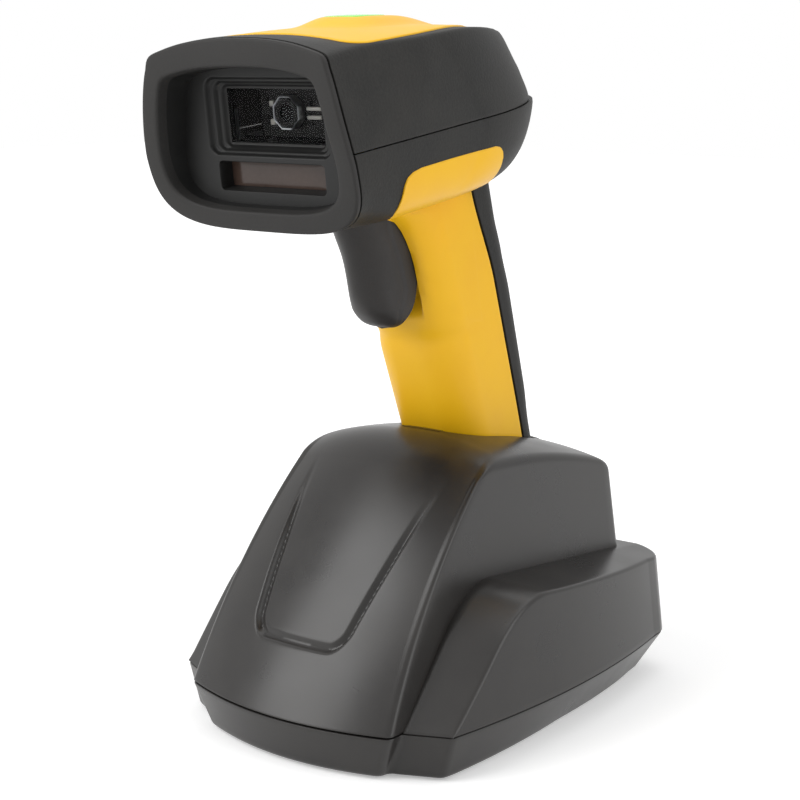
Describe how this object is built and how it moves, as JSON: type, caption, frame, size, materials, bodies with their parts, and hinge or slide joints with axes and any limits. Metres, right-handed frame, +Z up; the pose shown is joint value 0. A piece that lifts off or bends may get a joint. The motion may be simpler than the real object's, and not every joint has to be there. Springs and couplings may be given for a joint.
{
  "type": "handheld barcode scanner",
  "caption": "Pistol grip barcode scanner with a hooded scan window and a finger trigger, standing in a weighted charging cradle.",
  "frame": {"origin": "on the table, on the symmetry plane, under the middle of the overall depth", "axes": "+Z up, -Y towards the front where the nose and the cradle's tongue point, +X to the right as seen from the front"},
  "size_m": [0.1138, 0.1562, 0.213],
  "materials": {
    "bezel_rubber": "matte",
    "black_shell": "matte",
    "yellow_shell": "satin",
    "green_lens": "gloss",
    "inner_black": "matte",
    "gold_contact": "polished",
    "smoked_window": "polished",
    "dark_strip": "gloss",
    "sheet_steel": "brushed",
    "lens_glass": "polished",
    "white_led": "gloss",
    "circuit_board": "satin",
    "plated_steel": "satin",
    "cell_sleeve": "satin",
    "trigger_plastic": "satin",
    "white_plastic": "satin",
    "cradle_shell": "satin",
    "foot_rubber": "matte"
  },
  "bodies": {
    "cradle": {"cradle_upper_shell": "cradle_shell", "docking_cup": "inner_black", "cradle_tray": "cradle_shell", "ballast_plate": "sheet_steel", "rubber_feet": "foot_rubber", "cradle_board": "circuit_board", "contact_block": "inner_black", "cable_socket": "inner_black", "tray_screws": "plated_steel"},
    "scanner": {"nose_bezel": "bezel_rubber", "head_upper_shell": "black_shell", "head_lower_shell": "black_shell", "top_cover": "yellow_shell", "indicator_lens": "green_lens", "grip_shell": "yellow_shell", "grip_back_cover": "black_shell", "grip_foot_cap": "inner_black", "charge_contacts": "gold_contact", "window_frame": "inner_black", "scan_window": "smoked_window", "lower_trim_strip": "dark_strip", "engine_bracket": "sheet_steel", "engine_body": "inner_black", "lens_barrel": "inner_black", "engine_lens": "lens_glass", "illumination_leds": "white_led", "main_board": "circuit_board", "buzzer": "inner_black", "board_screws": "plated_steel", "housing_screws": "plated_steel", "battery_cell": "cell_sleeve", "trigger_pin": "plated_steel", "trigger_spring": "plated_steel", "trigger_board": "circuit_board", "trigger_switch": "inner_black"},
    "trigger": {"trigger": "trigger_plastic"},
    "switch_plunger": {"switch_plunger": "white_plastic"},
    "charge_pins": {"charge_pins": "gold_contact"}
  },
  "joints": [
    {"name": "scanner_lift", "type": "slide", "parent": "cradle", "child": "scanner", "axis": [0, -0.3256, 0.9455], "range_m": [0, 0.06]},
    {"name": "trigger_pull", "type": "hinge", "parent": "scanner", "child": "trigger", "pos_m": [0, -0.01535, 0.163], "axis": [1, 0, 0], "range_deg": [0, 6], "stiffness_Nm_per_rad": 0.4, "springref_deg": -2.86, "deforming": ["trigger_spring"]},
    {"name": "switch_press", "type": "slide", "parent": "scanner", "child": "switch_plunger", "axis": [0, 0.9455, 0.3256], "range_m": [0, 0.0038]},
    {"name": "charge_pins_press", "type": "slide", "parent": "cradle", "child": "charge_pins", "axis": [0, 0.3256, -0.9455], "range_m": [0, 0.0012], "stiffness_N_per_m": 1600, "springref_m": -0.0004}
  ],
  "couplings": [
    {"joint": "switch_press", "follows": "trigger_pull", "m_per_rad": 0.03554}
  ]
}
